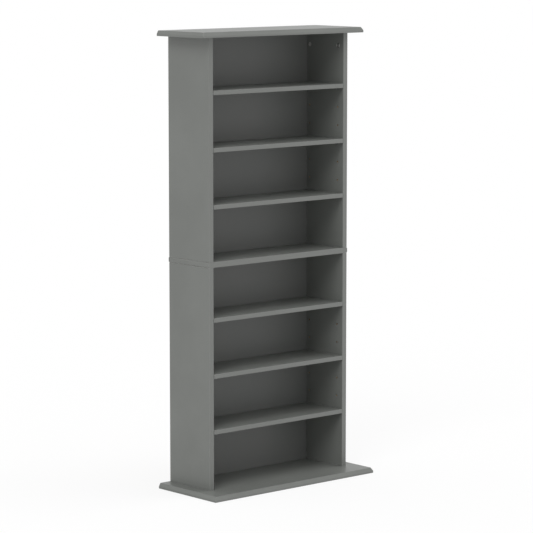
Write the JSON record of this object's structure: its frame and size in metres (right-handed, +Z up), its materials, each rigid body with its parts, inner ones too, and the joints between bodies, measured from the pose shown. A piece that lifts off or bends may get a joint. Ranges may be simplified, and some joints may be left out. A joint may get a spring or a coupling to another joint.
{
  "type": "disc storage tower",
  "caption": "Tall open grey tower for CD and DVD cases, with adjustable shelves, a fixed centre panel and bevelled top and base panels that overhang the case.",
  "frame": {"origin": "on the floor, under the middle of the base panel", "axes": "+X to the right of someone facing the tower, +Y to its back, +Z up"},
  "size_m": [0.582, 0.24, 1.2486],
  "materials": {
    "grey_foil_board": "satin grey foil on particle board",
    "grey_back_board": "satin grey foil on thin fibre board",
    "plated_steel": "bright plated",
    "cast_zinc": "dull cast zinc",
    "beech_wood": "bare beech"
  },
  "bodies": {
    "case": {"base_panel": "grey_foil_board", "centre_panel": "grey_foil_board", "top_panel": "grey_foil_board", "lower_left_side": "grey_foil_board", "lower_right_side": "grey_foil_board", "upper_left_side": "grey_foil_board", "upper_right_side": "grey_foil_board", "lower_back_panel": "grey_back_board", "upper_back_panel": "grey_back_board", "shelf_1_stud_front_left": "plated_steel", "shelf_1_stud_rear_left": "plated_steel", "shelf_1_stud_front_right": "plated_steel", "shelf_1_stud_rear_right": "plated_steel", "shelf_2_stud_front_left": "plated_steel", "shelf_2_stud_rear_left": "plated_steel", "shelf_2_stud_front_right": "plated_steel", "shelf_2_stud_rear_right": "plated_steel", "shelf_3_stud_front_left": "plated_steel", "shelf_3_stud_rear_left": "plated_steel", "shelf_3_stud_front_right": "plated_steel", "shelf_3_stud_rear_right": "plated_steel", "shelf_4_stud_front_left": "plated_steel", "shelf_4_stud_rear_left": "plated_steel", "shelf_4_stud_front_right": "plated_steel", "shelf_4_stud_rear_right": "plated_steel", "shelf_5_stud_front_left": "plated_steel", "shelf_5_stud_rear_left": "plated_steel", "shelf_5_stud_front_right": "plated_steel", "shelf_5_stud_rear_right": "plated_steel", "shelf_6_stud_front_left": "plated_steel", "shelf_6_stud_rear_left": "plated_steel", "shelf_6_stud_front_right": "plated_steel", "shelf_6_stud_rear_right": "plated_steel", "cam_lock_front_left": "cast_zinc", "cam_lock_rear_left": "cast_zinc", "cam_lock_front_right": "cast_zinc", "cam_lock_rear_right": "cast_zinc", "cam_bolt_front_left": "plated_steel", "cam_bolt_rear_left": "plated_steel", "cam_bolt_front_right": "plated_steel", "cam_bolt_rear_right": "plated_steel", "base_screw_front_left": "plated_steel", "base_screw_rear_left": "plated_steel", "base_screw_front_right": "plated_steel", "base_screw_rear_right": "plated_steel", "centre_dowel_front_left": "beech_wood", "centre_dowel_rear_left": "beech_wood", "centre_dowel_front_right": "beech_wood", "centre_dowel_rear_right": "beech_wood"},
    "shelf_1_body": {"shelf_1": "grey_foil_board"},
    "shelf_2_body": {"shelf_2": "grey_foil_board"},
    "shelf_3_body": {"shelf_3": "grey_foil_board"},
    "shelf_4_body": {"shelf_4": "grey_foil_board"},
    "shelf_5_body": {"shelf_5": "grey_foil_board"},
    "shelf_6_body": {"shelf_6": "grey_foil_board"}
  },
  "joints": [
    {"name": "shelf_1_out", "type": "slide", "parent": "case", "child": "shelf_1_body", "axis": [0, -1, 0], "range_m": [0, 0.16]},
    {"name": "shelf_2_out", "type": "slide", "parent": "case", "child": "shelf_2_body", "axis": [0, -1, 0], "range_m": [0, 0.16]},
    {"name": "shelf_3_out", "type": "slide", "parent": "case", "child": "shelf_3_body", "axis": [0, -1, 0], "range_m": [0, 0.16]},
    {"name": "shelf_4_out", "type": "slide", "parent": "case", "child": "shelf_4_body", "axis": [0, -1, 0], "range_m": [0, 0.16]},
    {"name": "shelf_5_out", "type": "slide", "parent": "case", "child": "shelf_5_body", "axis": [0, -1, 0], "range_m": [0, 0.16]},
    {"name": "shelf_6_out", "type": "slide", "parent": "case", "child": "shelf_6_body", "axis": [0, -1, 0], "range_m": [0, 0.16]}
  ]
}
